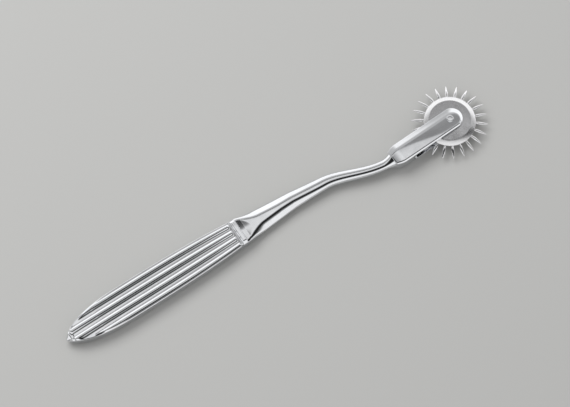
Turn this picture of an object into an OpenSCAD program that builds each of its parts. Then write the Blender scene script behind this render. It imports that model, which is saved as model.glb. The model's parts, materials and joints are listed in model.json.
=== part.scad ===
// Neurological pinwheel: a fluted handle with a forked end that carries a freely turning wheel of pins.
// Lengths are in millimetres. The tool lies flat on the plane z = 0, with the wheel's axis along Z and
// the fork along X, the wheel at the +X end. The origin is under the middle of the whole tool.

/* [Grip] */
// Length of the grip, from its rounded end to the collar
grip_l = 80; // [74:1:90]
// Width of the grip where it is widest
grip_w = 14.5; // [13:0.1:16]
// Thickness of the grip where it is thickest
grip_t = 5.2; // [4.8:0.1:6.2]
// Distance from the rounded end to the widest place
grip_end_l = 30; // [24:1:36]
// Thickness that the grip's crown line would have at the rounded end
grip_end_t = 4.2; // [3.8:0.1:4.8]
// Angle between the grip's line and the fork's line, in degrees
grip_lean = 2.1; // [0:0.1:4]
// Width of the slanting edge along the grip's outline
edge_w = 1.1; // [0.7:0.1:1.4]
// How far that slanting edge falls
edge_drop = 0.5; // [0.3:0.05:0.8]
// Length of the small lower nub at the very end
nub_l = 2.4; // [1.8:0.1:3]
// Thickness of the nub
nub_t = 3.4; // [3:0.1:3.8]

/* [Flutes] */
// Distance from one flute to the next at the widest place
flute_pitch = 3.75; // [3.3:0.05:4]
// Depth of the flutes
flute_d = 0.6; // [0.4:0.05:0.8]

/* [Collar] */
// Width of the raised bar across the handle
collar_l = 2; // [1.6:0.1:3]
// Width of the handle at the bar
collar_w = 11.4; // [10.6:0.1:12.4]
// Thickness of the handle under the bar
collar_t = 4.4; // [4:0.1:4.6]
// Height of the bar above the ribs
collar_rise = 0.4; // [0.2:0.05:0.4]
// Length of the scoop in front of the bar
scoop_l = 4.6; // [3:0.1:6]
// Depth of the scoop
scoop_d = 0.8; // [0.3:0.05:1]

/* [Shank] */
// Length of the shank from the collar to the fork
shank_l = 66.4; // [60:0.2:76]
// Width of the slanting edges of the shank, at its wide end
shank_edge_w = 3; // [2.4:0.1:3.4]
// How far the shank's slanting edges fall, at its wide end
shank_edge_drop = 1.6; // [1.2:0.1:1.8]
// Width of the neck where it is narrowest
neck_w = 4.3; // [3.8:0.1:5]
// Thickness of the neck where it is narrowest
neck_t = 4; // [3.6:0.1:4.6]
// Distance from the collar to the place where the shank starts to lean in
straight_l = 24; // [18:1:28]
// Angle between the leaning shank and the fork's line, in degrees
shank_lean = 5.9; // [3:0.1:7]
// Length of the sideways bend in the neck
bend_l = 28; // [25:1:34]
// How far the bend carries the shank to the side of the fork
bend_h = 8.3; // [6:0.1:10]
// Length of the flare where the neck meets the fork
flare_l = 4; // [3:0.2:6]
// Width of the neck's end face
flare_w = 6.2; // [5.8:0.1:6.6]
// Thickness of the neck's end face
flare_t = 5.6; // [5.2:0.1:5.8]

/* [Fork] */
// Length of the fork from its base to the wheel's axis
fork_l = 28.6; // [26:0.2:34]
// Width of the fork at the wheel's axis
fork_w = 8.8; // [8.4:0.1:9.2]
// Width of the fork at its shoulders
shoulder_w = 8.7; // [8.2:0.1:9.2]
// Distance from the base to the shoulders
shoulder_l = 4.8; // [4.6:0.1:5.6]
// Thickness of the fork over both arms
fork_t = 6.8; // [6.6:0.1:7.6]
// How far the arms reach past the wheel's axis
fork_reach = 5.4; // [5:0.1:6]
// Width of the fork's base face
base_w = 6.6; // [6.2:0.1:7]
// Thickness of the fork's base face
base_t = 6; // [5.8:0.1:6.4]
// Radius of the rounding along the arms' outer edges
arm_round = 1; // [0.7:0.1:1.2]
// Distance from the wheel's axis to the bottom of the slot
slot_l = 20.7; // [18:0.1:22]

/* [Tang] */
// Diameter of the tang by which the fork is brazed into the neck
tang_d = 2.2; // [1.8:0.1:2.4]
// Length of the tang inside the neck
tang_l = 5; // [3:0.5:6]
// Gap around the tang and at its end, filled by the braze
braze_gap = 0.05; // [0.03:0.01:0.1]

/* [Axle screw] */
// Diameter of the screw's plain shank
screw_d = 3; // [2.8:0.1:3.2]
// Diameter of the countersunk head
head_d = 5; // [4.6:0.1:5.2]
// How far the head lies below the fork's face
head_sink = 0.1; // [0.05:0.05:0.2]
// Height of the rounded end above the fork's other face
screw_proud = 0.5; // [0.3:0.05:0.7]
// Width of the driver slot
driver_w = 0.8; // [0.6:0.1:1]
// Depth of the driver slot
driver_d = 0.5; // [0.4:0.1:0.7]
// Gap between the screw and its holes in the arms
screw_gap = 0.02; // [0.01:0.01:0.04]

/* [Wheel] */
// Diameter of the disc
disc_d = 21; // [20:0.2:22]
// Thickness of the disc
disc_t = 3.6; // [3:0.1:3.8]
// Width of the slanting band around the disc
bevel_w = 1.9; // [1.2:0.1:2.4]
// Width of the cylindrical rim between the bands
rim_w = 1.5; // [1.3:0.1:1.9]
// Gap between each side of the disc and the fork's arm
side_gap = 0.25; // [0.2:0.05:0.4]
// Gap between the disc's bore and the screw
bore_gap = 0.05; // [0.03:0.01:0.09]
// Turn of the wheel at rest, in degrees
wheel_turn = -5.6; // [-8:0.2:8]

/* [Pins] */
// Number of pins
pin_count = 22; // [12:1:24]
// Diameter of the circle that the pin tips lie on
tip_circle_d = 31.1; // [28:0.1:32]
// Diameter of the part of a pin that sits in the disc
pin_d = 1; // [0.8:0.05:1.1]
// Depth that a pin sits in the disc
pin_seat = 2.8; // [2:0.1:3.4]
// Diameter of a pin where it is thickest
belly_d = 1.2; // [1.1:0.05:1.3]
// Distance from the rim to the thickest place
belly_l = 1.5; // [1:0.1:2]
// Diameter of the blunted tip
point_d = 0.28; // [0.1:0.02:0.36]
// Angle by which the pins lean down from the disc's middle plane, in degrees
pin_slant = 10; // [0:1:14]
// Gap between a pin and its hole
pin_gap = 0.01; // [0.01:0.01:0.03]

/* [Hidden] */
pin_names = [for (i = [1 : pin_count]) str("pin_", i < 10 ? "0" : "", i)];
$fn = 72;
too_much = 30;
overlap = 1;
smooth_fn = 32;

// Places along X, counted from the wheel's axis
base_x = -fork_l;
collar_front_x = base_x - shank_l;
collar_back_x = collar_front_x - collar_l;
end_x = collar_back_x - grip_l;
bend_end_x = base_x - bend_l;
lean_x = collar_front_x + straight_l;

// Heights
mid_z = max(fork_t, grip_t) / 2;
slot_t = disc_t + 2 * side_gap;

// Wheel
disc_r = disc_d / 2;
tip_r = tip_circle_d / 2;
pin_l = (tip_r - disc_r) / cos(pin_slant);
pin_step = 360 / pin_count;

// How quickly the outlines of the grip and the shank turn: 1 is a straight taper, more is fuller
end_fullness = 2.8;
end_bluntness = 0.7;
grip_taper = 2.8;
shank_taper = 1.9;
crown_taper = 2.5;
pin_taper = 1.6;

// Handle surface: points across one face, and how sharply the transitions in it run
across = 24;
face_points = across + 3;
ring_points = 2 * face_points;
step_l = 0.9;
ramp_l = 0.35;
wall_share = 0.25;
edge_limit = 0.68;
look_l = 0.05;

// Easing between 0 and 1, and a value held between two limits
function held(t, low, high) = max(low, min(high, t));
function ease(t) = let (u = held(t, 0, 1)) u * u * (3 - 2 * u);
// Quarter of an ellipse that rises from 0 to 1
function quarter(t) = let (u = 1 - held(t, 0, 1)) sqrt(1 - u * u);
// 1 between two places, falling to 0 over the ramp length outside them
function plateau(x, low, high, ramp) = min(ease((x - low) / ramp + 1), ease((high - x) / ramp + 1));

// Centre line of the handle, first seen from above, then its height, which falls behind the fork
function shank_line(x) = bend_h + (bend_end_x - max(x, lean_x)) * tan(shank_lean);
function handle_line(x) = shank_line(x) + max(0, lean_x - x) * tan(grip_lean);
function centre_y(x) = ease((base_x - x) / bend_l) * handle_line(x);
function centre_z(x) = mid_z - ease((base_x - x) / bend_l) * (mid_z - grip_t / 2);
function heading(x) = atan((centre_y(x + look_l) - centre_y(x - look_l)) / (2 * look_l));

// Half width and half thickness of the handle at a place along X
function grip_share(x) = held((x - end_x - grip_end_l) / (grip_l - grip_end_l), 0, 1);
function shank_share(x) = held((x - collar_front_x) / shank_l, 0, 1);
function flare_share(x) = pow(held((x - base_x) / flare_l + 1, 0, 1), 2);
function end_share(x) = held((x - end_x) / grip_end_l, 0, 1);
function grip_half_w(x) = pow(1 - pow(1 - end_share(x), end_fullness), end_bluntness) * grip_w / 2
    - pow(grip_share(x), grip_taper) * (grip_w - collar_w) / 2;
function neck_half_w(x) = (neck_w + pow(1 - shank_share(x), shank_taper) * (collar_w - neck_w)) / 2;
function shank_half_w(x) = neck_half_w(x) + flare_share(x) * (flare_w / 2 - neck_half_w(x));
function half_w(x) = x < collar_front_x ? grip_half_w(x) : shank_half_w(x);

function nub_half_t(x) = quarter((x - end_x) / nub_l) * nub_t / 2;
function grip_half_t(x) = (grip_t - (grip_t - grip_end_t) * pow(1 - end_share(x), crown_taper)
    - (grip_t - collar_t) * pow(grip_share(x), 2)) / 2;
function end_half_t(x) = let (risen = ease((x - end_x - nub_l) / step_l))
    nub_half_t(x) + risen * (grip_half_t(x) - nub_half_t(x));
function shank_half_t(x) = let (neck = (neck_t + (1 - shank_share(x)) * (collar_t - neck_t)) / 2)
    neck + flare_share(x) * (flare_t / 2 - neck);
function half_t(x) = x < collar_front_x ? end_half_t(x) : shank_half_t(x);

// Raised bar, scoop and flutes, as heights above or below the crown of the handle
function bar_h(x) = collar_rise * plateau(x, collar_back_x + ramp_l, collar_front_x - ramp_l, ramp_l);
function scoop_h(x, v) = let (inside = 1 - (x - collar_front_x) / scoop_l - abs(v) * 2 / collar_w)
    x < collar_front_x - ramp_l ? 0 : scoop_d * ease(inside * 2) * ease((x - collar_front_x) / ramp_l + 1);
function rib_pitch(x) = flute_pitch * (grip_share(x) > 0 ? grip_half_w(x) * 2 / grip_w : 1);
function rib_near(x, v) = let (p = rib_pitch(x)) (held(round(v / p + 0.5), -1, 2) - 0.5) * p;
function rib_end_x(x) = collar_back_x - ramp_l - rib_pitch(x) / 2;
function rib_distance(x, v) = norm([max(0, x - rib_end_x(x)), v - rib_near(x, v)]);
function flute_wave(x, v) = (1 - cos(180 * held(2 * rib_distance(x, v) / rib_pitch(x), 0, 1))) / 2;
function flute_h(x, v) = x > collar_back_x ? 0 :
    flute_d * ease((x - end_x - nub_l) / step_l) * flute_wave(x, v);
function flute_fade(x) = ease((collar_back_x - x) / ramp_l);

// Slanting edge along the outline, wider on the shank and at the bar
function edge_share(x) = ease((x - collar_front_x) / (2 * scoop_l));
function along_edge(x, grip, shank) = grip + bar_h(x) + edge_share(x) * (shank - grip);
function full_edge(x) = along_edge(x, edge_w, shank_edge_w);
function edge_at(x) = min(full_edge(x), edge_limit * half_w(x));
function edge_fall(x) = along_edge(x, edge_drop, shank_edge_drop) * edge_at(x) / full_edge(x);
function wall_half_t(x) = max(half_t(x) + bar_h(x) - edge_fall(x), wall_share * half_t(x));
function face_z(x, v) = half_t(x) + bar_h(x) - flute_h(x, v) * flute_fade(x) - scoop_h(x, v);

// One point of the ring at x, side is 1 for the upper face and -1 for the lower one
function offset_at(x, k) = k == 0 ? half_w(x) : k == across + 2 ? -half_w(x) :
    (half_w(x) - edge_at(x)) * (1 - 2 * (k - 1) / across);
function height_at(x, k) = k == 0 || k == across + 2 ? wall_half_t(x) :
    max(face_z(x, offset_at(x, k)), wall_half_t(x));
function ring_point(x, k, side) = let (v = offset_at(x, k), turn = heading(x))
    [x - v * sin(turn), centre_y(x) + v * cos(turn), centre_z(x) + side * height_at(x, k)];
function ring(x) = concat([for (k = [0 : across + 2]) ring_point(x, k, 1)],
    [for (k = [across + 2 : -1 : 0]) ring_point(x, k, -1)]);

// Places of the rings along the handle, closer together where its shape changes quickly
nub_places = [for (a = [8 : 16 : 88]) end_x + nub_l * (1 - cos(a))];
step_places = [for (t = [0.25 : 0.25 : 1]) end_x + nub_l + t * step_l];
end_places = [for (t = [0.15 : 0.14 : 1]) end_x + nub_l + step_l + t * (grip_end_l - nub_l - step_l)];
middle_x = end_x + grip_end_l;
ribs_x = collar_back_x - flute_pitch;
middle_places = [for (t = [0.1 : 0.15 : 1]) middle_x + t * (ribs_x - middle_x)];
rib_places = [for (t = [0 : 0.1 : 0.91]) ribs_x + t * flute_pitch];
bar_places = [for (t = [0, 0.5, 1]) collar_back_x + t * ramp_l];
bar_front_places = [for (t = [1, 0.5, 0]) collar_front_x - t * ramp_l];
scoop_places = [for (t = [0.1 : 0.1 : 1.01]) collar_front_x + t * scoop_l];
shank_x = collar_front_x + scoop_l;
flare_x = base_x - flare_l;
shank_places = [for (t = [0.05 : 0.05 : 0.96]) shank_x + t * (flare_x - shank_x)];
flare_places = [for (t = [0 : 0.2 : 1.01]) flare_x + t * flare_l];
places = concat(nub_places, step_places, end_places, middle_places, rib_places, bar_places,
    bar_front_places, scoop_places, shank_places, flare_places);

handle_points = [for (x = places) each ring(x)];
last = len(places) - 1;
handle_faces = concat(
    [[for (k = [0 : ring_points - 1]) k]],
    [[for (k = [ring_points - 1 : -1 : 0]) last * ring_points + k]],
    [for (i = [0 : last - 1], k = [0 : ring_points - 1])
        let (a = i * ring_points + k, b = i * ring_points + (k + 1) % ring_points)
        each [[a, a + ring_points, b + ring_points], [a, b + ring_points, b]]]);

// The tool's outer limits in the wheel's frame, which set the origin under its middle
pin_angles = [for (i = [0 : pin_count - 1]) wheel_turn + i * pin_step];
high_x = tip_r * max([for (a = pin_angles) cos(a)]);
low_y = min([for (a = pin_angles) tip_r * sin(a)]);
high_y = max([for (p = handle_points) p.y]);
low_x = min([for (p = handle_points) p.x]);
wheel_x = -(low_x + high_x) / 2;
wheel_y = -(low_y + high_y) / 2;

// Moves a piece from the wheel's frame, z = 0 under the tool, to the tool's own frame
module placed() {
    translate([wheel_x, wheel_y, 0]) children();
}

// Grip, collar, shank and neck in one forging, bored for the fork's tang
module handle() {
    color("lightgray") placed() difference() {
        polyhedron(points = handle_points, faces = handle_faces, convexity = 6);
        translate([base_x - tang_l - braze_gap, 0, mid_z])
            rotate([0, 90, 0]) cylinder(d = tang_d + 2 * braze_gap, h = tang_l + overlap);
    }
}

// Disc with a rounded outer edge on both faces, standing for the arms' outline at one place
module rounded_disc(r, t) {
    rotate_extrude($fn = 64) {
        translate([0, -t / 2]) square([r - arm_round, t]);
        translate([0, arm_round - t / 2]) square([r, t - 2 * arm_round]);
        for (side = [-1, 1])
            translate([r - arm_round, side * (t / 2 - arm_round)]) circle(r = arm_round, $fn = smooth_fn);
    }
}

// Solid outline of the fork before it is slotted
module fork_blank() {
    hull() {
        translate([fork_reach - fork_w / 2, 0, mid_z]) rounded_disc(fork_w / 2, fork_t + 2 * head_sink);
        translate([base_x + shoulder_l, 0, mid_z]) rounded_disc(shoulder_w / 2, fork_t + 2 * head_sink);
        for (y = [-1, 1], z = [-1, 1])
            translate([base_x, y * (base_w / 2 - arm_round), mid_z + z * (base_t / 2 - arm_round)])
                rotate([0, 90, 0]) cylinder(r = arm_round, h = shoulder_l / 2, $fn = smooth_fn);
    }
}

// Profile of the countersunk seat for the screw head, grown by a gap
module head_cone(gap) {
    cylinder(d1 = head_d + 2 * gap, d2 = screw_d + 2 * gap, h = (head_d - screw_d) / 2);
}

// Fork with two arms, a slot for the wheel, the screw's holes and a tang
module fork() {
    low_z = mid_z - fork_t / 2;
    color("silver") placed() union() {
        difference() {
            fork_blank();
            for (z = [low_z + fork_t, low_z - too_much])
                translate([-too_much, -too_much, z]) cube([2 * too_much, 2 * too_much, too_much]);
            translate([-slot_l + slot_t / 2, -fork_w, mid_z - slot_t / 2])
                cube([slot_l + fork_reach + fork_w, 2 * fork_w, slot_t]);
            translate([-slot_l + slot_t / 2, fork_w, mid_z])
                rotate([90, 0, 0]) cylinder(d = slot_t, h = 2 * fork_w);
            translate([0, 0, low_z - overlap])
                cylinder(d = screw_d + 2 * screw_gap, h = fork_t + 2 * overlap);
            translate([0, 0, low_z + head_sink]) head_cone(screw_gap);
            translate([0, 0, low_z - overlap])
                cylinder(d = head_d + 2 * screw_gap, h = overlap + head_sink);
        }
        translate([base_x - tang_l, 0, mid_z])
            rotate([0, 90, 0]) cylinder(d = tang_d, h = tang_l + overlap);
    }
}

// Axle screw: slotted countersunk head below, plain shank, rounded end above
module axle_screw() {
    low_z = mid_z - fork_t / 2 + head_sink;
    high_z = mid_z + fork_t / 2;
    cap_r = (pow(screw_d / 2, 2) + pow(screw_proud, 2)) / (2 * screw_proud);
    color("whitesmoke") placed() difference() {
        union() {
            translate([0, 0, low_z]) head_cone(0);
            translate([0, 0, low_z]) cylinder(d = screw_d, h = high_z - low_z);
            intersection() {
                translate([0, 0, high_z + screw_proud - cap_r]) sphere(r = cap_r);
                translate([0, 0, high_z - overlap]) cylinder(d = screw_d, h = screw_proud + 2 * overlap);
            }
        }
        translate([-head_d, -driver_w / 2, low_z - overlap])
            cube([2 * head_d, driver_w, driver_d + overlap]);
    }
}

// Moves a piece's Z axis onto the line of the pin at an angle around the wheel, z = 0 at the rim
module at_rim(a) {
    rotate([0, 0, a]) translate([disc_r, 0, 0]) rotate([0, 90 + pin_slant, 0]) children();
}

// Disc with slanting bands on both sides, an axle bore and a radial hole for each pin
module wheel_disc() {
    color("darkgray") placed() translate([0, 0, mid_z]) difference() {
        rotate_extrude() polygon([
            [screw_d / 2 + bore_gap, -disc_t / 2],
            [disc_r - bevel_w, -disc_t / 2],
            [disc_r, -rim_w / 2],
            [disc_r, rim_w / 2],
            [disc_r - bevel_w, disc_t / 2],
            [screw_d / 2 + bore_gap, disc_t / 2]]);
        for (a = pin_angles)
            at_rim(a) translate([0, 0, -pin_seat - pin_gap])
                cylinder(d = pin_d + 2 * pin_gap, h = pin_seat + overlap);
    }
}

// Radius of a pin at a distance out from the rim, swelling to the belly and then tapering
function pin_r(s) = s < belly_l
    ? (pin_d + (belly_d - pin_d) * sin(90 * s / belly_l)) / 2
    : (point_d + (belly_d - point_d) * (1 - pow((s - belly_l) / (pin_l - belly_l), pin_taper))) / 2;
pin_swell = [for (t = [0 : 0.34 : 1.03]) held(t, 0, 1) * belly_l];
pin_point = [for (t = [0.2 : 0.2 : 1.01]) belly_l + held(t, 0, 1) * (pin_l - belly_l)];

// One pin, lying along its own angle around the wheel
module pin(i) {
    color("gainsboro") placed() translate([0, 0, mid_z]) at_rim(pin_angles[i])
        rotate_extrude() polygon(concat(
            [[0, -pin_seat], [pin_d / 2, -pin_seat]],
            [for (s = concat(pin_swell, pin_point)) [pin_r(s), s]],
            [[0, pin_l]]));
}

handle();
fork();
axle_screw();
wheel_disc();
for (i = [0 : pin_count - 1])
    pin(i);
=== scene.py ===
"""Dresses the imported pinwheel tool: polished handle and fork, satin disc, axle screw and pins.

Lengths are in metres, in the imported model's own frame. Places along the tool are counted from the
wheel's axis, which comes from the model's joint, with the fork's line along X.
"""
import json
import logging
import math
from dataclasses import astuple, dataclass
from enum import Enum
from typing import Callable, Iterable, Sequence

import bpy
import numpy as np
from mathutils import Matrix, Vector


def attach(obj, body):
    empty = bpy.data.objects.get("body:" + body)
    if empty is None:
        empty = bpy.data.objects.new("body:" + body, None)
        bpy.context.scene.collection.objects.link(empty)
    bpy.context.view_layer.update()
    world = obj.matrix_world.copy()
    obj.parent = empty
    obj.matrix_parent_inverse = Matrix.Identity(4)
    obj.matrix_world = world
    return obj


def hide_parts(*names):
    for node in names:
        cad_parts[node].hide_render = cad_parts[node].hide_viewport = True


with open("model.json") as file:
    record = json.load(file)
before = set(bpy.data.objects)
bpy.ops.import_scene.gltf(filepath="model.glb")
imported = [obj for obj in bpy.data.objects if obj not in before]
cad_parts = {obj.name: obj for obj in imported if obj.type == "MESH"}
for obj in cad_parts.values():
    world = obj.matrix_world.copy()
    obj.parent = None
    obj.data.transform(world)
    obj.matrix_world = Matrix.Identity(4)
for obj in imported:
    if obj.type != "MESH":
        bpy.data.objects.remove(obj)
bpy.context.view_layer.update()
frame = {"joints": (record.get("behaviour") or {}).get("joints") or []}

LOG = logging.getLogger("pinwheel")
MM = 0.001
Colour = tuple[float, float, float]
Place = tuple[float, float, float]
Piece = bpy.types.Object
Material = bpy.types.Material
Node = bpy.types.Node
CHROME: Colour = (0.84, 0.85, 0.87)
DULL_CHROME: Colour = (0.78, 0.79, 0.81)


class Body(Enum):
    """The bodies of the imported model."""

    HOLDER = "holder"
    WHEEL = "wheel"


class Slot(Enum):
    """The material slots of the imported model's record."""

    HANDLE = "polished_chrome"
    FORK = "fork_chrome"
    SCREW = "screw_steel"
    DISC = "satin_disc"
    PIN = "pin_steel"


class Marks(Enum):
    """How a surface was worked, which sets the direction of its fine marks."""

    POLISHED = "polished"
    TURNED = "turned"


class Graph:
    """Adds nodes to a node tree and links them."""

    def __init__(self, tree: bpy.types.NodeTree) -> None:
        """Keeps the tree and clears it."""
        self.tree = tree
        self.tree.nodes.clear()

    def add(self, kind: str, inputs: dict | None = None, **settings: object) -> Node:
        """Adds one node.

        Args:
            kind: the node's type name.
            inputs: a value, another node's output or another node, for its first output, for each
                input, by name or number.
            **settings: values for the node's own properties.

        Returns:
            The new node.
        """
        node = self.tree.nodes.new(kind)
        for name, value in settings.items():
            setattr(node, name, value)
        for name, value in (inputs or {}).items():
            if isinstance(value, Node):
                value = value.outputs[0]
            if isinstance(value, bpy.types.NodeSocket):
                self.tree.links.new(value, node.inputs[name])
            else:
                node.inputs[name].default_value = value
        return node


@dataclass(frozen=True)
class Zone:
    """A part of a surface with its own polish and a lighter colour painted as a sheen, marked on the mesh by
    an attribute.
    """

    mark: str
    colour: Colour
    roughness: float


@dataclass(frozen=True)
class MetalFinish:
    """A metal surface: its colour, its polish and the marks that the work left on it."""

    name: str
    colour: Colour
    worn_colour: Colour
    roughness: tuple[float, float]
    marks: Marks
    mark_depth: float
    mark_size: Place = (9 * MM, 0.5 * MM, 0.5 * MM)
    patch_size: float = 6 * MM
    centre: Place = (0.0, 0.0, 0.0)
    turn: float = 0.0
    zone: Zone | None = None

    def material(self) -> Material:
        """Builds the node material.

        Returns:
            The material, which reads the piece's Object coordinates.
        """
        material = bpy.data.materials.new(self.name)
        material.use_nodes = True
        graph = Graph(material.node_tree)
        coordinates = graph.add("ShaderNodeTexCoord").outputs["Object"]
        placed = graph.add("ShaderNodeMapping", {"Vector": coordinates, "Location": self.centre,
                                                 "Rotation": (0, 0, self.turn)}, vector_type="TEXTURE")
        colour, roughness = self.patches(graph, placed)
        normal = self.marked_normal(graph, placed)
        shader = graph.add("ShaderNodeBsdfPrincipled", {"Metallic": 1.0, "Base Color": colour,
                                                        "Roughness": roughness, "Normal": normal})
        graph.add("ShaderNodeOutputMaterial", {"Surface": shader})
        return material

    def patches(self, graph: Graph, placed: Node) -> tuple[Node, Node]:
        """Lets the colour and the polish vary softly over the surface, and differ in the zone, whose lighter
        colour is a painted sheen.

        Args:
            graph: the material's node graph.
            placed: the node that gives the centred coordinates.

        Returns:
            The nodes that give the colour and the roughness.
        """
        worn_to, bright_from = 0.3, 0.7
        cloud = graph.add("ShaderNodeTexNoise", {"Vector": placed, "Scale": 1 / self.patch_size,
                                                 "Detail": 4.0, "Roughness": 0.6})
        ramp = graph.add("ShaderNodeValToRGB", {"Fac": cloud})
        stops = zip(ramp.color_ramp.elements, (worn_to, bright_from), (self.worn_colour, self.colour))
        for stop, position, colour in stops:
            stop.position = position
            stop.color = (*colour, 1)
        smoothest, roughest = self.roughness
        polish = graph.add("ShaderNodeMapRange", {"Value": cloud, "From Min": worn_to, "To Min": roughest,
                                                  "From Max": bright_from, "To Max": smoothest})
        zone = self.zone
        if zone is None:
            return ramp, polish
        inside = graph.add("ShaderNodeAttribute", attribute_name=zone.mark).outputs["Fac"]
        # the zone's lighter colour is mixed in here as a painted sheen
        tone_and_sheen = graph.add("ShaderNodeMixRGB", {"Fac": inside, "Color1": ramp, "Color2": (*zone.colour, 1)})
        sheen = graph.add("ShaderNodeMix", {"Factor": inside, "A": polish, "B": zone.roughness},
                          data_type="FLOAT")
        return tone_and_sheen, sheen

    def marked_normal(self, graph: Graph, placed: Node) -> Node:
        """Adds the fine marks of the polishing wheel or of the turning tool as a bump.

        Args:
            graph: the material's node graph.
            placed: the node that gives the centred coordinates.

        Returns:
            The node that gives the normal with the marks.
        """
        if self.marks is Marks.TURNED:
            wave_steps = 20
            rings_scale = 2 * math.pi / (wave_steps * self.mark_size[1])
            marks = graph.add("ShaderNodeTexWave", {"Vector": placed, "Scale": rings_scale, "Distortion": 1.5,
                                                    "Detail": 3.0, "Detail Scale": 2.0},
                              wave_type="RINGS", rings_direction="Z")
        else:
            scale = tuple(1 / size for size in self.mark_size)
            stretched = graph.add("ShaderNodeMapping", {"Vector": placed, "Scale": scale})
            marks = graph.add("ShaderNodeTexNoise", {"Vector": stretched, "Scale": 1.0, "Detail": 3.0})
        return graph.add("ShaderNodeBump", {"Height": marks.outputs["Fac"], "Strength": 1.0,
                                            "Distance": self.mark_depth})


def held(value: float, low: float = 0.0, high: float = 1.0) -> float:
    """Holds a value between two limits."""
    return max(low, min(high, value))


def ease(share: float | np.ndarray) -> float | np.ndarray:
    """Runs smoothly from 0 to 1 while the share does."""
    part = np.clip(share, 0, 1)
    return part * part * (3 - 2 * part)


def plateau(x: float, low: float, high: float, ramp: float) -> float:
    """Is 1 between two places and falls to 0 over a ramp outside them."""
    return float(min(ease((x - low) / ramp + 1), ease((high - x) / ramp + 1)))


def spread(stretches: Iterable[tuple[float, float, int]]) -> np.ndarray:
    """Spaces places evenly over stretches, each given by its start, its end and how many it gets."""
    return np.concatenate([np.linspace(*stretch, endpoint=False) for stretch in stretches])


def spaced(runs: Iterable[tuple[float, float, float]]) -> np.ndarray:
    """Spaces places evenly over runs, each given by its start, its end and the greatest step."""
    return spread((low, high, math.ceil((high - low) / step)) for low, high, step in runs)


def soften(outline: np.ndarray, corners: Sequence[int], counts: Sequence[int], softness: float) -> np.ndarray:
    """Rounds a closed outline and spaces points along it, so many from each corner to the next.

    Args:
        outline: the outline's points, one row each, without the first one again at the end.
        corners: the numbers of the points where the stretches start, the first one being 0.
        counts: the number of points on each stretch.
        softness: the width of the rounding.

    Returns:
        The rounded outline's points, one row each.
    """
    dense = 1440
    closed = np.vstack([outline, outline[:1]])
    run = np.concatenate([[0], np.cumsum(np.linalg.norm(np.diff(closed, axis=0), axis=1))])
    total = run[-1]
    even = np.linspace(0, total, dense, endpoint=False)
    line = np.interp(even, run, closed[:, 0]) + 1j * np.interp(even, run, closed[:, 1])
    waves = np.fft.fft(line) * np.exp(-2 * (math.pi * softness * np.fft.fftfreq(dense, total / dense)) ** 2)
    line = np.fft.ifft(waves)
    ends = [run[corner] for corner in corners[1:]] + [total]
    places = spread(zip([run[corner] for corner in corners], ends, counts))
    even = np.append(even, total)
    line = np.append(line, line[0])
    return np.column_stack([np.interp(places, even, line.real), np.interp(places, even, line.imag)])


def deselect_all() -> None:
    """Leaves edit mode and deselects every object."""
    if bpy.context.object and bpy.context.object.mode != "OBJECT":
        bpy.ops.object.mode_set(mode="OBJECT")
    bpy.ops.object.select_all(action="DESELECT")


def activate(piece: Piece) -> None:
    """Makes one object the active one and the only selected one."""
    deselect_all()
    piece.select_set(True)
    bpy.context.view_layer.objects.active = piece


def edit_all(piece: Piece) -> None:
    """Goes into edit mode with all of a piece selected."""
    activate(piece)
    bpy.ops.object.mode_set(mode="EDIT")
    bpy.ops.mesh.select_all(action="SELECT")


def select_vertices(piece: Piece, wanted: Callable[[Vector], bool]) -> None:
    """Selects the vertices whose place passes a test, and goes into edit mode.

    Args:
        piece: the mesh object, in object mode.
        wanted: the test, which gets a vertex's place.
    """
    edit_all(piece)
    bpy.ops.mesh.select_mode(type="VERT")
    bpy.ops.mesh.select_all(action="DESELECT")
    bpy.ops.object.mode_set(mode="OBJECT")
    for vertex in piece.data.vertices:
        vertex.select = wanted(vertex.co)
    bpy.ops.object.mode_set(mode="EDIT")


def close_up(closeness: float) -> None:
    """Merges the double points of the mesh in edit mode, fills its open ends and turns its faces outward.

    Args:
        closeness: the greatest distance of double points.
    """
    bpy.ops.mesh.select_all(action="SELECT")
    bpy.ops.mesh.remove_doubles(threshold=closeness)
    bpy.ops.mesh.fill_holes(sides=0)
    bpy.ops.mesh.select_all(action="SELECT")
    bpy.ops.mesh.normals_make_consistent(inside=False)
    bpy.ops.object.mode_set(mode="OBJECT")


def settle(piece: Piece) -> None:
    """Applies an object's place, turn and scale to its mesh."""
    activate(piece)
    bpy.ops.object.transform_apply(location=True, rotation=True, scale=True)


def smooth(piece: Piece, sharp_from: float) -> None:
    """Shades a piece smoothly, except at edges sharper than an angle in degrees."""
    activate(piece)
    bpy.ops.object.shade_smooth_by_angle(angle=math.radians(sharp_from))


def mark_zone(piece: Piece, name: str, share: Callable[[Vector], float]) -> None:
    """Marks a zone of a mesh with an attribute, whose value at a vertex comes from the vertex's place."""
    marks = piece.data.attributes.new(name, "FLOAT", "POINT")
    marks.data.foreach_set("value", [share(vertex.co) for vertex in piece.data.vertices])


def combine(piece: Piece, other: Piece, operation: str) -> None:
    """Joins a closed shape to a piece or takes it away from it, and removes the shape's object.

    Args:
        piece: the piece that stays.
        other: the closed shape.
        operation: the boolean operation's name.
    """
    activate(piece)
    modifier = piece.modifiers.new("combine", "BOOLEAN")
    modifier.operation = operation
    modifier.solver = "EXACT"
    modifier.object = other
    bpy.ops.object.modifier_apply(modifier=modifier.name)
    bpy.data.objects.remove(other)


def cut(piece: Piece, cutter: Piece) -> None:
    """Cuts a shape out of a piece and removes the cutter."""
    combine(piece, cutter, "DIFFERENCE")


def mend(piece: Piece) -> None:
    """Merges the near-double points that cuts leave, and dissolves the faces without an area.

    Args:
        piece: the piece after its cuts.
    """
    closeness = 0.003 * MM
    edit_all(piece)
    bpy.ops.mesh.remove_doubles(threshold=closeness)
    bpy.ops.mesh.dissolve_degenerate(threshold=closeness)
    bpy.ops.object.mode_set(mode="OBJECT")


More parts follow.
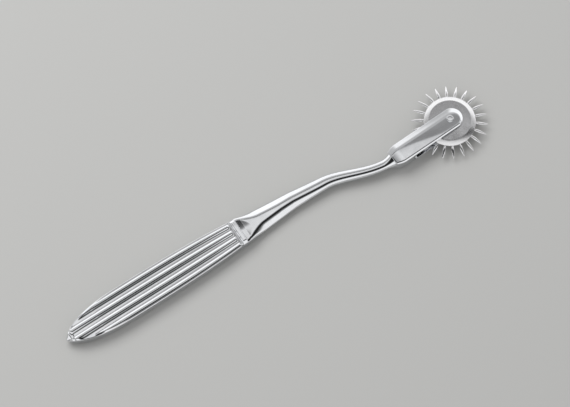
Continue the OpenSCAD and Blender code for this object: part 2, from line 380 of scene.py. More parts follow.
def rod(radius: float, start: Vector, end: Vector, sides: int = 64) -> Piece:
    """Adds a round bar between two points.

    Args:
        radius: its radius.
        start: the middle of its first end.
        end: the middle of its other end.
        sides: the number of its sides.

    Returns:
        The bar's object, with its place in its mesh.
    """
    deselect_all()
    line = end - start
    turn = line.to_track_quat("Z", "Y").to_euler()
    bpy.ops.mesh.primitive_cylinder_add(vertices=sides, radius=radius, depth=line.length,
                                        location=(start + end) / 2, rotation=turn)
    bar = bpy.context.object
    settle(bar)
    return bar


def skin(name: str, rings: Sequence[np.ndarray]) -> Piece:
    """Makes a closed shell over rings of points, with both ends filled.

    Args:
        name: the piece's name.
        rings: the rings in order, each with as many points, one row each.

    Returns:
        The shell's object.
    """
    closed = [np.vstack([ring, ring[:1]]) for ring in rings]
    points = np.concatenate(closed)
    deselect_all()
    bpy.ops.mesh.primitive_grid_add(x_subdivisions=len(closed[0]) - 1, y_subdivisions=len(closed) - 1, size=1)
    shell = bpy.context.object
    shell.name = shell.data.name = name
    shell.data.vertices.foreach_set("co", points.astype(np.float32).ravel())
    shell.data.update()
    edit_all(shell)
    close_up(closeness=0.001 * MM)
    return shell


def lathe(name: str, profile: Sequence[tuple[float, float]], steps: int) -> Piece:
    """Draws a profile point by point and spins it about the Z axis through the origin.

    Args:
        name: the piece's name.
        profile: radius and height of each point, closed by the spin at the axis or by its last point.
        steps: the number of steps of the full turn.

    Returns:
        The turned object.
    """
    deselect_all()
    bpy.ops.mesh.primitive_plane_add(size=1)
    piece = bpy.context.object
    piece.name = piece.data.name = name
    edit_all(piece)
    bpy.ops.mesh.select_mode(type="VERT")
    bpy.ops.mesh.merge(type="CENTER")
    bpy.ops.transform.translate(value=(profile[0][0], 0, profile[0][1]))
    for (radius, height), (last_radius, last_height) in zip(profile[1:], profile):
        move = (radius - last_radius, 0, height - last_height)
        bpy.ops.mesh.extrude_region_move(TRANSFORM_OT_translate={"value": move})
    bpy.ops.mesh.select_all(action="SELECT")
    bpy.ops.mesh.spin(steps=steps, angle=2 * math.pi, center=(0, 0, 0), axis=(0, 0, 1))
    close_up(closeness=0.0005 * MM)
    return piece


def hand_over(piece: Piece, finish: Material, body: Body, node: str) -> None:
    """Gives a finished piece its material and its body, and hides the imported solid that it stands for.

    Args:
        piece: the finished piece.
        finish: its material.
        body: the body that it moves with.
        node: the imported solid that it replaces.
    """
    piece.data.materials.clear()
    piece.data.materials.append(finish)
    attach(piece, body.value)
    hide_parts(node)
    LOG.info("%s rides on %s with %d faces", piece.name, body.value, len(piece.data.polygons))


@dataclass
class Handle:
    """The forging with the fluted grip, the collar bar, the scoop, the shank and the bent neck."""

    axis: Vector
    fork_l: float = 28.6 * MM
    grip_l: float = 80 * MM
    grip_w: float = 14.49 * MM
    grip_t: float = 5.2 * MM
    grip_end_l: float = 30 * MM
    grip_end_t: float = 4.2 * MM
    grip_lean: float = math.radians(2.1)
    grip_roll: float = math.radians(1.2)
    edge_w: float = 0.9 * MM
    edge_drop: float = 0.45 * MM
    nub_l: float = 2.4 * MM
    nub_t: float = 3.4 * MM
    nub_slope: float = 1.25
    nub_fullness: float = 0.85
    flute_pitch: float = 3.75 * MM
    flute_d: float = 0.53 * MM
    flute_shift: float = -0.3 * MM
    crest_share: float = 0.09
    slope_share: float = 0.27
    collar_l: float = 2 * MM
    collar_w: float = 11.4 * MM
    collar_t: float = 4.4 * MM
    collar_rise: float = 0.4 * MM
    scoop_l: float = 4.6 * MM
    scoop_d: float = 0.42 * MM
    scoop_blend: float = 1.2 * MM
    shank_l: float = 66.4 * MM
    shank_edge_w: float = 2.8 * MM
    shank_edge_drop: float = 1.8 * MM
    neck_w: float = 4.3 * MM
    neck_t: float = 4 * MM
    straight_l: float = 24 * MM
    shank_lean: float = math.radians(5.9)
    bend_l: float = 28 * MM
    bend_h: float = 8.3 * MM
    flare_l: float = 4 * MM
    flare_w: float = 6.2 * MM
    flare_t: float = 5.6 * MM
    bore_d: float = 2.3 * MM
    bore_l: float = 5.05 * MM
    step_l: float = 0.9 * MM
    ramp_l: float = 0.35 * MM
    end_fullness: float = 2.8
    end_bluntness: float = 0.7
    grip_taper: float = 2.8
    shank_taper: float = 1.9
    crown_taper: float = 2.5
    wall_share: float = 0.16
    edge_limit: float = 0.68
    neck_edge_limit: float = 0.49
    neck_edge_share: float = 0.3
    grip_softness: float = 0.14 * MM
    shank_softness: float = 0.62 * MM

    def __post_init__(self) -> None:
        """Works out the places along X, counted from the wheel's axis."""
        self.base_x = -self.fork_l
        self.collar_front_x = self.base_x - self.shank_l
        self.collar_back_x = self.collar_front_x - self.collar_l
        self.end_x = self.collar_back_x - self.grip_l
        self.bend_end_x = self.base_x - self.bend_l
        self.lean_x = self.collar_front_x + self.straight_l

    def centre_y(self, x: float) -> float:
        """Side offset of the handle's centre line."""
        line = self.bend_h + (self.bend_end_x - max(x, self.lean_x)) * math.tan(self.shank_lean)
        line += max(0.0, self.lean_x - x) * math.tan(self.grip_lean)
        return float(ease((self.base_x - x) / self.bend_l)) * line

    def centre_z(self, x: float) -> float:
        """Height of the handle's middle, which falls from the fork's middle to half the grip's thickness."""
        fall = self.axis.z - self.grip_t / 2
        return self.axis.z - fall * float(ease((self.base_x - x) / self.bend_l))

    def heading(self, x: float) -> float:
        """Angle of the centre line against X."""
        look = 0.05 * MM
        return math.atan2(self.centre_y(x + look) - self.centre_y(x - look), 2 * look)

    def grip_share(self, x: float) -> float:
        """Share of the way from the widest place to the collar."""
        return held((x - self.end_x - self.grip_end_l) / (self.grip_l - self.grip_end_l))

    def shank_share(self, x: float) -> float:
        """Share of the way along the shank."""
        return held((x - self.collar_front_x) / self.shank_l)

    def half_w(self, x: float) -> float:
        """Half the handle's width.

        Args:
            x: the place along the handle.

        Returns:
            The distance of the outline from the centre line.
        """
        if x < self.collar_front_x:
            end = held((x - self.end_x) / self.grip_end_l)
            full = (1 - (1 - end) ** self.end_fullness) ** self.end_bluntness * self.grip_w / 2
            return full - self.grip_share(x) ** self.grip_taper * (self.grip_w - self.collar_w) / 2
        wider = (1 - self.shank_share(x)) ** self.shank_taper * (self.collar_w - self.neck_w)
        neck = (self.neck_w + wider) / 2
        return neck + self.flare_share(x) * (self.flare_w / 2 - neck)

    def flare_share(self, x: float) -> float:
        """Share of the flare where the neck meets the fork."""
        return held((x - self.base_x) / self.flare_l + 1) ** 2

    def half_t(self, x: float) -> float:
        """Half the handle's thickness along its crown.

        Args:
            x: the place along the handle.

        Returns:
            The height of the crown over the middle, without the bar.
        """
        if x >= self.collar_front_x:
            neck = (self.neck_t + (1 - self.shank_share(x)) * (self.collar_t - self.neck_t)) / 2
            return neck + self.flare_share(x) * (self.flare_t / 2 - neck)
        nub = held(self.nub_slope * (x - self.end_x) / self.nub_l) ** self.nub_fullness * self.nub_t / 2
        end = held((x - self.end_x) / self.grip_end_l)
        grip = self.grip_t - (self.grip_t - self.grip_end_t) * (1 - end) ** self.crown_taper
        grip -= (self.grip_t - self.collar_t) * self.grip_share(x) ** 2
        return nub + float(ease((x - self.end_x - self.nub_l) / self.step_l)) * (grip / 2 - nub)

    def bar_h(self, x: float) -> float:
        """Height of the collar bar."""
        ramp = self.ramp_l
        return self.collar_rise * plateau(x, self.collar_back_x + ramp, self.collar_front_x - ramp, ramp)

    def scoop_h(self, x: float, v: np.ndarray) -> np.ndarray:
        """Depth of the three-cornered scoop in front of the bar.

        Args:
            x: the place along the handle.
            v: places across it.

        Returns:
            The depth at each place.
        """
        if x < self.collar_front_x - self.ramp_l:
            return np.zeros_like(v)
        aside = np.hypot(v, self.scoop_blend) - self.scoop_blend
        inside = 1 - (x - self.collar_front_x) / self.scoop_l - aside * 2 / self.collar_w
        return self.scoop_d * np.clip(inside, 0, 1) * ease((x - self.collar_front_x) / self.ramp_l + 1)

    def flute_h(self, x: float, v: np.ndarray) -> np.ndarray:
        """Depth of the flutes, which end round the ribs' tongues before the bar.

        Args:
            x: the place along the handle.
            v: places across it.

        Returns:
            The depth at each place.
        """
        if x > self.collar_back_x:
            return np.zeros_like(v)
        pitch = self.flute_pitch
        if self.grip_share(x) > 0:
            pitch *= self.half_w(x) * 2 / self.grip_w
        v = v - self.flute_shift
        rib = (np.clip(np.round(v / pitch + 0.5), -1, 2) - 0.5) * pitch
        beyond = max(0.0, x - (self.collar_back_x - self.ramp_l - pitch / 2))
        away = np.hypot(beyond, v - rib)
        wave = np.clip((away / pitch - self.crest_share) / self.slope_share, 0, 1)
        risen = ease((x - self.end_x - self.nub_l) / self.step_l)
        return self.flute_d * risen * wave * ease((self.collar_back_x - x) / self.ramp_l)

    def near_limit(self, x: float) -> float:
        """Greatest share of the half width that the near edge takes, less towards the neck."""
        narrowing = float(ease(self.shank_share(x) / self.neck_edge_share - 1))
        return self.edge_limit + narrowing * (self.neck_edge_limit - self.edge_limit)

    def edge(self, x: float, limit: float) -> tuple[float, float]:
        """Width and fall of the slanting edge along one side of the outline.

        Args:
            x: the place along the handle.
            limit: the greatest share of the half width that the edge takes.

        Returns:
            The edge's width and its fall.
        """
        share = float(ease((x - self.collar_front_x) / (2 * self.scoop_l)))
        width = self.edge_w + self.bar_h(x) + share * (self.shank_edge_w - self.edge_w)
        fall = self.edge_drop + self.bar_h(x) + share * (self.shank_edge_drop - self.edge_drop)
        limited = min(width, limit * self.half_w(x))
        return limited, fall * limited / width

    def ring(self, x: float) -> np.ndarray:
        """Points round the handle at one place.

        Args:
            x: the place along the handle.

        Returns:
            The ring's points, one row each.
        """
        samples = 121
        on_edge, on_face, on_wall = 7, 60, 8
        half_w = self.half_w(x)
        far_w, far_fall = self.edge(x, self.edge_limit)
        near_w, near_fall = self.edge(x, self.near_limit(x))
        crown = self.half_t(x) + self.bar_h(x)
        wall = max(crown - far_fall, self.wall_share * self.half_t(x))
        near_wall = max(crown - near_fall, wall)
        v = np.linspace(half_w - far_w, near_w - half_w, samples)
        face = np.maximum(crown - self.flute_h(x, v) - self.scoop_h(x, v), wall)
        rolled = math.tan(self.grip_roll) * float(ease((self.collar_front_x - x) / self.collar_l))
        rolled *= float(ease((x - self.end_x) / self.grip_end_l))
        face -= rolled * (v - v[-1])
        far_corner = [half_w, wall - rolled * (v[0] - v[-1])]
        upper = np.vstack([far_corner, np.column_stack([v, face]), [-half_w, near_wall]])
        outline = np.vstack([upper, upper[::-1] * [1, -1]])
        last = samples + 1
        corners = [0, 1, samples, last, last + 1, last + 2, last + 1 + samples, 2 * last + 1]
        share = float(ease((x - self.collar_front_x) / self.scoop_l))
        softness = self.grip_softness + share * (self.shank_softness - self.grip_softness)
        softness = min(softness, half_w / 4, crown / 4)
        flat = soften(outline, corners, [on_edge, on_face, on_edge, on_wall] * 2, softness)
        flat *= outline.max(axis=0) / flat.max(axis=0)
        turn = self.heading(x)
        return np.column_stack([self.axis.x + x - flat[:, 0] * math.sin(turn),
                                self.axis.y + self.centre_y(x) + flat[:, 0] * math.cos(turn),
                                self.centre_z(x) + flat[:, 1]])

    def build(self) -> Piece:
        """Models the handle.

        Returns:
            The handle's object.
        """
        wide_gap, step_gap, collar_gap, flare_gap = 0.6 * MM, 0.12 * MM, 0.11 * MM, 0.16 * MM
        tip_angles = range(10, 90, 4)
        tip = self.end_x + self.nub_l * (1 - np.cos(np.radians(tip_angles)))
        nub_x = self.end_x + self.nub_l
        steps_x = nub_x + 2 * self.step_l
        ribs_x = self.collar_back_x - self.flute_pitch
        past_scoop_x = self.collar_front_x + 1.2 * self.scoop_l
        flare_x = self.base_x - self.flare_l
        body = spaced([(nub_x, steps_x, step_gap), (steps_x, ribs_x, wide_gap),
                       (ribs_x, past_scoop_x, collar_gap), (past_scoop_x, flare_x, wide_gap),
                       (flare_x, self.base_x, flare_gap)])
        piece = skin("handle_forging", [self.ring(float(x)) for x in (*tip, *body, self.base_x)])
        end = self.axis + Vector((self.base_x, 0, 0))
        cut(piece, rod(self.bore_d / 2, end - Vector((self.bore_l, 0, 0)), end + Vector((MM, 0, 0))))
        smooth(piece, sharp_from=40)
        return piece

    def dress(self, piece: Piece) -> None:
        """Gives the handle its bright plating."""
        finish = MetalFinish("handle_plating", CHROME, DULL_CHROME, (0.06, 0.12),
                             Marks.POLISHED, 0.0012 * MM, turn=-self.grip_lean)
        hand_over(piece, finish.material(), Body.HOLDER, "handle")


@dataclass(frozen=True)
class Bend:
    """A stretch of a rounded edge's section: its length and the slopes at its ends, in degrees."""

    length: float
    start: float
    end: float

    def mixed(self, other: "Bend", share: float) -> "Bend":
        """A stretch between this one and another, at a share of the way."""
        return Bend(*(mine + share * (theirs - mine) for mine, theirs in zip(astuple(self), astuple(other))))

    def steps(self, count: int) -> list[tuple[float, float]]:
        """Cuts the stretch into straight steps.

        Args:
            count: the number of steps.

        Returns:
            How far each step runs outward and how far it falls.
        """
        turned = self.end - self.start
        slopes = [math.radians(self.start + turned * (number + 0.5) / count) for number in range(count)]
        step = self.length / count
        return [(step * math.cos(slope), step * math.sin(slope)) for slope in slopes]


@dataclass
class Fork:
    """The end piece with two arms, the wheel's slot, the screw's holes and the tang."""

    axis: Vector
    length: float = 28.6 * MM
    reach: float = 5.35 * MM
    width: float = 8.8 * MM
    shoulder_w: float = 8.7 * MM
    shoulder_l: float = 4.2 * MM
    thickness: float = 6.8 * MM
    base_w: float = 6.6 * MM
    base_t: float = 6 * MM
    far_edge: tuple[Bend, ...] = (Bend(1.0 * MM, 5, 15), Bend(2.1 * MM, 18, 21), Bend(0.2 * MM, 21, 90))
    near_edge: tuple[Bend, ...] = (Bend(0.34 * MM, 8, 17), Bend(0.66 * MM, 38, 45), Bend(0.05 * MM, 46, 90))
    tip_edge: tuple[Bend, ...] = (Bend(0.3 * MM, 8, 17), Bend(1.35 * MM, 42, 47), Bend(0.1 * MM, 47, 90))
    tip_farness: float = 0.07
    low_round: float = 0.9 * MM
    base_round: float = 0.35 * MM
    slot_l: float = 20.7 * MM
    slot_t: float = 4.1 * MM
    slot_break: float = 0.12 * MM
    tang_d: float = 2.2 * MM
    tang_l: float = 5 * MM
    screw_d: float = 3.04 * MM
    head_d: float = 5.04 * MM
    head_sink: float = 0.1 * MM
    mouth_break: float = 0.1 * MM
    facet_tilt: float = math.radians(1.7)
    facet_radius: float = 110 * MM
    ridge: tuple[tuple[float, float], ...] = (
        (-28.6 * MM, 2.1 * MM), (-22.7 * MM, 0.9 * MM), (-16.9 * MM, -0.3 * MM), (-9.8 * MM, -2.2 * MM),
        (-5.8 * MM, -3.1 * MM), (-2 * MM, -3.45 * MM), (6 * MM, -3.6 * MM))

    def half_w(self, x: float) -> float:
        """Half the width of the straight part.

        Args:
            x: the place along the fork.

        Returns:
            The distance of the outline from the middle.
        """
        if x < self.shoulder_l - self.length:
            risen = math.sin(math.pi / 2 * (x + self.length) / self.shoulder_l)
            return (self.base_w + risen * (self.shoulder_w - self.base_w)) / 2
        lobe_x = self.reach - self.width / 2
        share = (x + self.length - self.shoulder_l) / (lobe_x + self.length - self.shoulder_l)
        return (self.shoulder_w + share * (self.width - self.shoulder_w)) / 2

    def half_t(self, x: float) -> float:
        """Half the thickness."""
        risen = math.sin(math.pi / 2 * held((x + self.length) / self.shoulder_l))
        return (self.base_t + risen * (self.thickness - self.base_t)) / 2

    def slot_half(self, x: float) -> float:
        """Half the slot's height, which its round bottom brings to nothing."""
        radius = self.slot_t / 2
        inward = max(0.0, radius - self.slot_l - x)
        return math.sqrt(max(0.0, radius ** 2 - inward ** 2))

    def ridge_y(self, x: float) -> float:
        """Side place of the soft ridge along the upper face."""
        places, offsets = zip(*self.ridge)
        return float(np.interp(x, places, offsets))

    def facet_fall(self, x: float, y: np.ndarray) -> np.ndarray:
        """How far the upper face falls on the far side of its ridge.

        Args:
            x: the place along the fork.
            y: places across it.

        Returns:
            The fall at each place.
        """
        blend = 0.3 * MM
        past = y - self.ridge_y(x)
        past = (past + np.hypot(past, blend)) / 2
        return math.tan(self.facet_tilt) * past + past ** 2 / (2 * self.facet_radius)

    def upper_edge(self, farness: float) -> np.ndarray:
        """Section of the upper face's rounded edge.

        Args:
            farness: 1 on the far side, 0 on the near side, and between them round the lobe.

        Returns:
            Inset from the outline and fall below the face for each point, from the face to the wall.
        """
        per_bend = 6
        steps = [(0.0, 0.0)]
        to_tip = held(farness / self.tip_farness)
        beyond = held((farness - self.tip_farness) / (1 - self.tip_farness))
        for near, tip, far in zip(self.near_edge, self.tip_edge, self.far_edge):
            steps += near.mixed(tip, to_tip).mixed(far, beyond).steps(per_bend)
        points = np.cumsum(steps, axis=0)
        points[:, 0] = points[-1, 0] - points[:, 0]
        return points

    def side_profile(self, x: float, farness: float) -> tuple[np.ndarray, np.ndarray]:
        """Points down one side, from the upper to the lower face.

        Args:
            x: the place along the fork.
            farness: 1 on the far side, 0 on the near side, and between them round the lobe.

        Returns:
            The points' insets from the outline and their heights.
        """
        turn = np.linspace(0, math.pi / 2, 13)
        half_t = self.half_t(x)
        slot = self.slot_half(x)
        broken = self.slot_break * slot / (self.slot_t / 2)
        above = self.upper_edge(farness)
        above[:, 1] = half_t - above[:, 1]
        below = self.low_round * (1 - np.column_stack([np.sin(turn), np.cos(turn)])) - [0, half_t]
        hollow, past = 0.3 * broken, 0.2 * broken
        lips = [(0, slot + broken), (hollow, slot + hollow), (broken, slot - past)]
        middle = [*lips, (broken, slot / 2), (broken, 0), (broken, -slot / 2),
                  *[(inset, -height) for inset, height in reversed(lips)]]
        points = np.vstack([above, middle, below[::-1]])
        return points[:, 0], points[:, 1]

    def ring(self, x: float, y: float, inward: tuple[float, float], inset: float) -> np.ndarray:
        """Points round the fork through one pair of places on its outline.

        Args:
            x: the places' distance along the fork.
            y: their distance to each side.
            inward: the direction into the outline at the place on the positive side.
            inset: how far the whole ring is drawn in, for the rounded base.

        Returns:
            The ring's points, one row each.
        """
        across, under = 36, 20
        sides = []
        for side in (1, -1):
            insets, heights = self.side_profile(x, (1 - side * inward[1]) / 2)
            insets = insets + inset
            heights = heights * (1 - inset / self.half_t(x))
            offsets = side * np.maximum(y + insets * inward[1], 0)
            sides.append(np.column_stack([x + insets * inward[0], offsets, heights]))
        far, near = sides
        upper = np.linspace(far[0], near[0], across + 1)[1:-1]
        lower = np.linspace(near[-1], far[-1], under + 1)[1:-1]
        ring = np.vstack([far[::-1], upper, near, lower])
        clear_of_lips = 1.2 * self.slot_break
        lip = self.slot_t / 2 + clear_of_lips
        share = np.clip((ring[:, 2] - lip) / (self.half_t(x) - lip), 0, 1)
        ring[:, 2] -= share * self.facet_fall(x, ring[:, 1])
        return ring + [self.axis.x, self.axis.y, self.axis.z]

    def build(self) -> Piece:
        """Models the fork.

        Returns:
            The fork's object.
        """
        gap, lobe_rings = 0.22 * MM, 46
        rings = []
        for angle in np.radians([0, 30, 60]):
            drawn_in = self.base_round * (1 - math.sin(angle))
            x = -self.length + self.base_round * (1 - math.cos(angle))
            rings.append(self.ring(x, self.half_w(x), (0, -1), drawn_in))
        lobe_x = self.reach - self.width / 2
        for x in spaced([(self.base_round - self.length, lobe_x, gap)]):
            rings.append(self.ring(x, self.half_w(x), (0, -1), 0))
        for angle in np.linspace(math.pi / 2, 0, lobe_rings):
            side = (-math.cos(angle), -math.sin(angle))
            rings.append(self.ring(lobe_x - side[0] * self.width / 2, -side[1] * self.width / 2, side, 0))
        piece = skin("fork_end", rings)
        self.cut_slot(piece)
        self.cut_holes(piece)
        end = self.axis - Vector((self.length, 0, 0))
        tang = rod(self.tang_d / 2, end - Vector((self.tang_l, 0, 0)), end + Vector((MM, 0, 0)), sides=48)
        combine(piece, tang, "UNION")
        mend(piece)
        smooth(piece, sharp_from=35)
        return piece

    def cut_slot(self, piece: Piece) -> None:
        """Cuts the wheel's slot with its round bottom.

        Args:
            piece: the fork's shell.
        """
        bottom = self.axis + Vector((self.slot_t / 2 - self.slot_l, 0, 0))
        side = Vector((0, self.width, 0))
        cutter = rod(self.slot_t / 2, bottom - side, bottom + side)
        select_vertices(cutter, lambda place: place.x > bottom.x + 0.01 * MM)
        bpy.ops.transform.translate(value=(self.slot_l + 2 * self.reach, 0, 0))
        deselect_all()
        cut(piece, cutter)

    def cut_holes(self, piece: Piece) -> None:
        """Cuts the screw's holes, the seat of its head and the broken edge of the upper hole.

        Args:
            piece: the fork with its slot.
        """
        high = self.thickness / 2
        seat = self.head_sink - high
        bolt, head = self.screw_d / 2, self.head_d / 2
        over = 1.5 * self.mouth_break
        profile = [(0, -self.thickness), (head, -self.thickness), (head, seat), (bolt, seat + head - bolt),
                   (bolt, high - over), (bolt + 2 * over, high + over), (0, high + over)]
        cutter = lathe("screw_hole", profile, steps=64)
        bpy.ops.transform.translate(value=self.axis)
        settle(cutter)
        cut(piece, cutter)

    def dress(self, piece: Piece) -> None:
        """Gives the fork its plating, slightly hazier than the handle's."""
        finish = MetalFinish("fork_plating", CHROME, DULL_CHROME, (0.08, 0.14),
                             Marks.POLISHED, 0.0012 * MM, mark_size=(5 * MM, 0.35 * MM, 0.35 * MM))
        hand_over(piece, finish.material(), Body.HOLDER, "fork")


@dataclass
class AxleScrew:
    """The screw with a slotted, countersunk head below and a rounded end above."""

    axis: Vector
    fork_t: float = 6.8 * MM
    diameter: float = 3 * MM
    head_d: float = 5 * MM
    head_sink: float = 0.1 * MM
    proud: float = 0.5 * MM
    edge_round: float = 0.5 * MM
    crown_h: float = 0.01 * MM
    driver_w: float = 0.8 * MM
    driver_d: float = 0.5 * MM

    def build(self) -> Piece:
        """Models the screw.

        Returns:
            The screw's object.
        """
        low, high = self.head_sink - self.fork_t / 2, self.fork_t / 2
        radius, head = self.diameter / 2, self.head_d / 2
        rounding, top, hidden = self.edge_round, high + self.proud, 0.4 * MM
        end = [(radius - rounding * (1 - math.cos(angle)), top - rounding * (1 - math.sin(angle)))
               for angle in np.linspace(0, math.pi / 2, 9)]
        end += [(out, end[-1][1]) for out in (0.6 * MM, 0.3 * MM, 0)]
        dome = [(out, height - self.crown_h * (out / radius) ** 2) for out, height in end]
        profile = [(0, low), (head, low), (radius, low + head - radius), (radius, high - hidden), *dome]
        piece = lathe("axle_screw_turned", profile, steps=72)
        deselect_all()
        bpy.ops.mesh.primitive_cube_add(size=1, location=(0, 0, low))
        driver = bpy.context.object
        driver.scale = (2 * self.head_d, self.driver_w, 2 * self.driver_d)
        settle(driver)
        cut(piece, driver)
        piece.data.transform(Matrix.Translation(self.axis))
        smooth(piece, sharp_from=30)
        return piece

    def dress(self, piece: Piece) -> None:
        """Gives the screw its polished steel."""
        finish = MetalFinish("screw_polish", CHROME, DULL_CHROME, (0.05, 0.09),
                             Marks.TURNED, 0.0003 * MM, mark_size=(0.1 * MM,) * 3,
                             patch_size=1.5 * MM, centre=tuple(self.axis))
        hand_over(piece, finish.material(), Body.HOLDER, "axle_screw")


@dataclass
class Disc:
    """The turned disc that carries the pins, with a slanting band round each face."""

    axis: Vector
    diameter: float = 21 * MM
    thickness: float = 3.6 * MM
    bevel_w: float = 1.9 * MM
    rim_w: float = 1.1 * MM
    bore_d: float = 3.1 * MM
    edge_break: float = 0.1 * MM
    dome_h: float = 0.25 * MM

    def build(self) -> Piece:
        """Models the disc.

        Returns:
            The disc's object.
        """
        radius, half_t, rim = self.diameter / 2, self.thickness / 2, self.rim_w / 2
        bore, flat = self.bore_d / 2, self.diameter / 2 - self.bevel_w
        dome = [(out, half_t - self.dome_h * (out / flat) ** 2) for out in np.linspace(flat, bore, 16)]
        under = [(out, -height) for out, height in reversed(dome)]
        profile = [*under, (radius, -rim), (radius, rim), *dome, under[0]]
        piece = lathe("disc_turned", profile, steps=180)
        edit_all(piece)
        bpy.ops.mesh.select_mode(type="EDGE")
        bpy.ops.mesh.select_all(action="DESELECT")
        bpy.ops.mesh.edges_select_sharp(sharpness=math.radians(20))
        bpy.ops.mesh.bevel(offset=self.edge_break, segments=3, affect="EDGES")
        bpy.ops.object.mode_set(mode="OBJECT")
        # marks the bevel bands, whose lighter colour in the material is a painted sheen for their bright
        # reflection
        mark_zone(piece, "sheen_band", lambda place: float(place.xy.length > flat - self.edge_break / 2))
        piece.data.transform(Matrix.Translation(self.axis))
        smooth(piece, sharp_from=25)
        return piece

    def dress(self, piece: Piece) -> None:
        """Gives the disc its satin, turned faces, and bevel bands in a lighter colour that is a painted
        sheen.
        """
        finish = MetalFinish("disc_satin", (0.66, 0.66, 0.67), (0.58, 0.58, 0.59), (0.22, 0.30),
                             Marks.TURNED, 0.004 * MM, mark_size=(0.35 * MM,) * 3,
                             patch_size=4 * MM, centre=tuple(self.axis),
                             # the band's lighter colour is a painted sheen; its roughness is the band's own
                             # polish
                             zone=Zone("sheen_band", (0.82, 0.82, 0.83), 0.27))
        hand_over(piece, finish.material(), Body.WHEEL, "wheel_disc")


@dataclass
class Pins:
    """The ring of spindle-shaped pins, which lean down a little from the disc's middle plane."""

    axis: Vector
    count: int = 22
    disc_d: float = 21 * MM
    tip_circle_d: float = 31.1 * MM
    seat: float = 2.8 * MM
    root_d: float = 1 * MM
    belly_d: float = 1.4 * MM
    belly_l: float = 1.7 * MM
    point_d: float = 0.28 * MM
    taper: float = 1.6
    slant: float = math.radians(10)
    first_turn: float = math.radians(-5.6)

    def radius_at(self, out: float) -> float:
        """Radius of a pin.

        Args:
            out: the distance from the rim.

        Returns:
            The radius there.
        """
        if out < self.belly_l:
            swollen = math.sin(math.pi / 2 * out / self.belly_l)
            return (self.root_d + (self.belly_d - self.root_d) * swollen) / 2
        share = (out - self.belly_l) / (self.length() - self.belly_l)
        return (self.point_d + (self.belly_d - self.point_d) * (1 - share ** self.taper)) / 2

    def length(self) -> float:
        """Length of a pin outside the rim."""
        return (self.tip_circle_d - self.disc_d) / 2 / math.cos(self.slant)

    def build(self) -> list[Piece]:
        """Models one pin and copies it round the rim.

        Returns:
            The pins' objects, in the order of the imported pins.
        """
        length = self.length()
        point_from = length - self.point_d / 2
        outs = [*spread([(0, self.belly_l, 4), (self.belly_l, point_from, 11)]), point_from]
        profile = [(0, -self.seat), (self.root_d / 2, -self.seat)]
        profile += [(self.radius_at(out), out) for out in outs]
        profile += [(self.point_d / 3, length - self.point_d / 6), (0, length)]
        first = lathe("pin_turned", profile, steps=28)
        smooth(first, sharp_from=40)
        rim = Matrix.Translation((self.disc_d / 2, 0, 0)) @ Matrix.Rotation(math.pi / 2 + self.slant, 4, "Y")
        pins = []
        for number in range(self.count):
            pin = first.copy()
            pin.data = first.data.copy()
            pin.name = f"pin_{number + 1:02d}_turned"
            bpy.context.scene.collection.objects.link(pin)
            angle = self.first_turn + number * 2 * math.pi / self.count
            pin.data.transform(Matrix.Translation(self.axis) @ Matrix.Rotation(angle, 4, "Z") @ rim)
            pins.append(pin)
        bpy.data.objects.remove(first)
        return pins

    def dress(self, pins: Sequence[Piece]) -> None:
        """Gives the pins their bright steel."""
        finish = MetalFinish("pin_polish", (0.96, 0.96, 0.97), (0.86, 0.86, 0.87), (0.16, 0.24),
                             Marks.POLISHED, 0.001 * MM, mark_size=(0.3 * MM,) * 3, patch_size=1.2 * MM)
        material = finish.material()
        for number, pin in enumerate(pins):
            hand_over(pin, material, Body.WHEEL, f"pin_{number + 1:02d}")


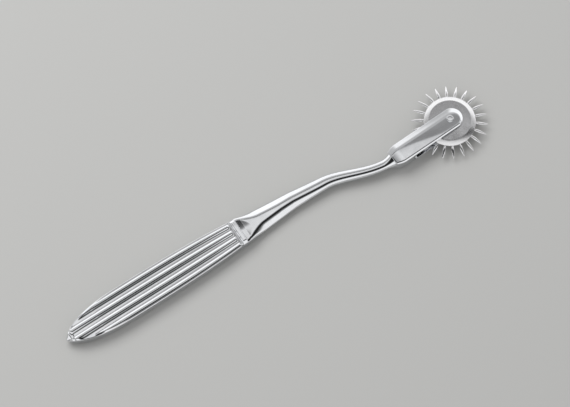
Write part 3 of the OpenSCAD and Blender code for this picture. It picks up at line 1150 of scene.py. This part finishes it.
@dataclass
class Studio:
    """The pale floor, the soft light and the camera at the photograph's viewing angle."""

    axis: Vector
    azimuth: float = math.radians(-35.41)
    elevation: float = math.radians(71.2)
    distance: float = 1.5
    focal_px: float = 3763.1
    image_w: int = 570
    sensor_w: float = 36.0
    aim_offset: Place = (-73.98 * MM, 10.1 * MM, -0.2 * MM)
    floor_size: float = 6.0
    floor_colour: Colour = (0.50, 0.50, 0.49)
    fill: float = 0.55
    lamp_power: float = 9.0
    lamp_size: tuple[float, float] = (1.0, 0.7)
    lamp_away: float = 0.55
    lamp_aside: float = 0.45
    lamp_h: float = 0.85
    bands: tuple[tuple[float, float], ...] = ((-90, 0.3), (-78, 0.35), (-72, 1.0), (-33, 1.0), (-28, 0.22),
                                              (-22, 0.14), (-18, 0.02), (5, 0.02), (10, 0.3), (14, 0.86),
                                              (19.5, 0.86), (22, 0.26), (25, 0.24), (31, 0.5), (48, 0.55),
                                              (54, 1.15), (90, 1.25))

    def sight(self) -> Vector:
        """Direction in which the camera looks."""
        level = Vector((-math.sin(self.azimuth), math.cos(self.azimuth), 0))
        return level * math.cos(self.elevation) - Vector((0, 0, math.sin(self.elevation)))

    def add_camera(self) -> None:
        """Adds the camera and makes it the scene's own."""
        data = bpy.data.cameras.new("camera")
        data.sensor_width = self.sensor_w
        data.lens = self.focal_px / self.image_w * self.sensor_w
        camera = bpy.data.objects.new("camera", data)
        camera.location = self.axis + Vector(self.aim_offset) - self.distance * self.sight()
        camera.rotation_euler = (math.pi / 2 - self.elevation, 0, self.azimuth)
        bpy.context.scene.collection.objects.link(camera)
        bpy.context.scene.camera = camera

    def add_floor(self) -> None:
        """Adds the plain pale floor."""
        deselect_all()
        bpy.ops.mesh.primitive_plane_add(size=self.floor_size)
        floor = bpy.context.object
        floor.name = "floor"
        material = bpy.data.materials.new("floor_paper")
        material.use_nodes = True
        graph = Graph(material.node_tree)
        shader = graph.add("ShaderNodeBsdfPrincipled", {"Base Color": (*self.floor_colour, 1),
                                                        "Roughness": 0.9, "Specular IOR Level": 0.1})
        graph.add("ShaderNodeOutputMaterial", {"Surface": shader})
        floor.data.materials.append(material)

    def add_light(self) -> None:
        """Adds one large soft lamp behind the tool, which gives the soft shadow."""
        data = bpy.data.lights.new("soft_lamp", "AREA")
        data.shape = "RECTANGLE"
        data.size, data.size_y = self.lamp_size
        data.energy = self.lamp_power
        lamp = bpy.data.objects.new("soft_lamp", data)
        away = Vector((self.sight().x, self.sight().y, 0)).normalized()
        side = Vector((-away.y, away.x, 0))
        lamp.location = away * self.lamp_away + side * self.lamp_aside + Vector((0, 0, self.lamp_h))
        lamp.rotation_euler = (-lamp.location).to_track_quat("-Z", "Y").to_euler()
        lamp.visible_glossy = False
        bpy.context.scene.collection.objects.link(lamp)

    def add_sky(self) -> None:
        """Surrounds the tool with the studio: long soft panels in metal, an even fill on the rest."""
        world = bpy.data.worlds.new("studio")
        world.use_nodes = True
        bpy.context.scene.world = world
        graph = Graph(world.node_tree)
        away = Vector((self.sight().x, self.sight().y, 0)).normalized()
        ray = graph.add("ShaderNodeTexCoord").outputs["Generated"]
        along = graph.add("ShaderNodeVectorMath", {0: ray, 1: away}, operation="DOT_PRODUCT").outputs["Value"]
        up = graph.add("ShaderNodeSeparateXYZ", {"Vector": ray}).outputs["Z"]
        angle = graph.add("ShaderNodeMath", {0: along, 1: up}, operation="ARCTAN2")
        low, high = math.radians(self.bands[0][0]), math.radians(self.bands[-1][0])
        share = graph.add("ShaderNodeMapRange", {"Value": angle, "From Min": low, "From Max": high})
        ramp = graph.add("ShaderNodeValToRGB", {"Fac": share})
        brightest = max(strength for _, strength in self.bands)
        stops = ramp.color_ramp.elements
        stops.remove(stops[1])
        for number, (place, strength) in enumerate(self.bands):
            at = (math.radians(place) - low) / (high - low)
            stop = stops[0] if number == 0 else stops.new(at)
            stop.position = at
            stop.color = (*(strength / brightest,) * 3, 1)
        white = (1, 1, 1, 1)
        panels = graph.add("ShaderNodeBackground", {"Color": ramp, "Strength": brightest})
        fill = graph.add("ShaderNodeBackground", {"Color": white, "Strength": self.fill})
        pale = graph.add("ShaderNodeBackground", {"Color": white, "Strength": 1.0})
        rays = graph.add("ShaderNodeLightPath").outputs
        metal = graph.add("ShaderNodeMixShader", {0: rays["Is Glossy Ray"], 1: fill, 2: panels})
        seen = graph.add("ShaderNodeMixShader", {0: rays["Is Camera Ray"], 1: metal, 2: pale})
        graph.add("ShaderNodeOutputWorld", {"Surface": seen})

    def build(self) -> None:
        """Sets up the whole studio."""
        bpy.context.scene.view_settings.view_transform = "Standard"
        self.add_camera()
        self.add_floor()
        self.add_light()
        self.add_sky()


def main() -> None:
    """Builds and dresses the tool's pieces in order."""
    logging.basicConfig(level=logging.INFO, format="%(name)s: %(message)s")
    axis = Vector(frame["joints"][0]["pos_m"])
    Studio(axis).build()
    for assembly in (Handle(axis), Fork(axis), AxleScrew(axis), Disc(axis), Pins(axis)):
        assembly.dress(assembly.build())
    deselect_all()


if __name__ == "__main__":
    main()
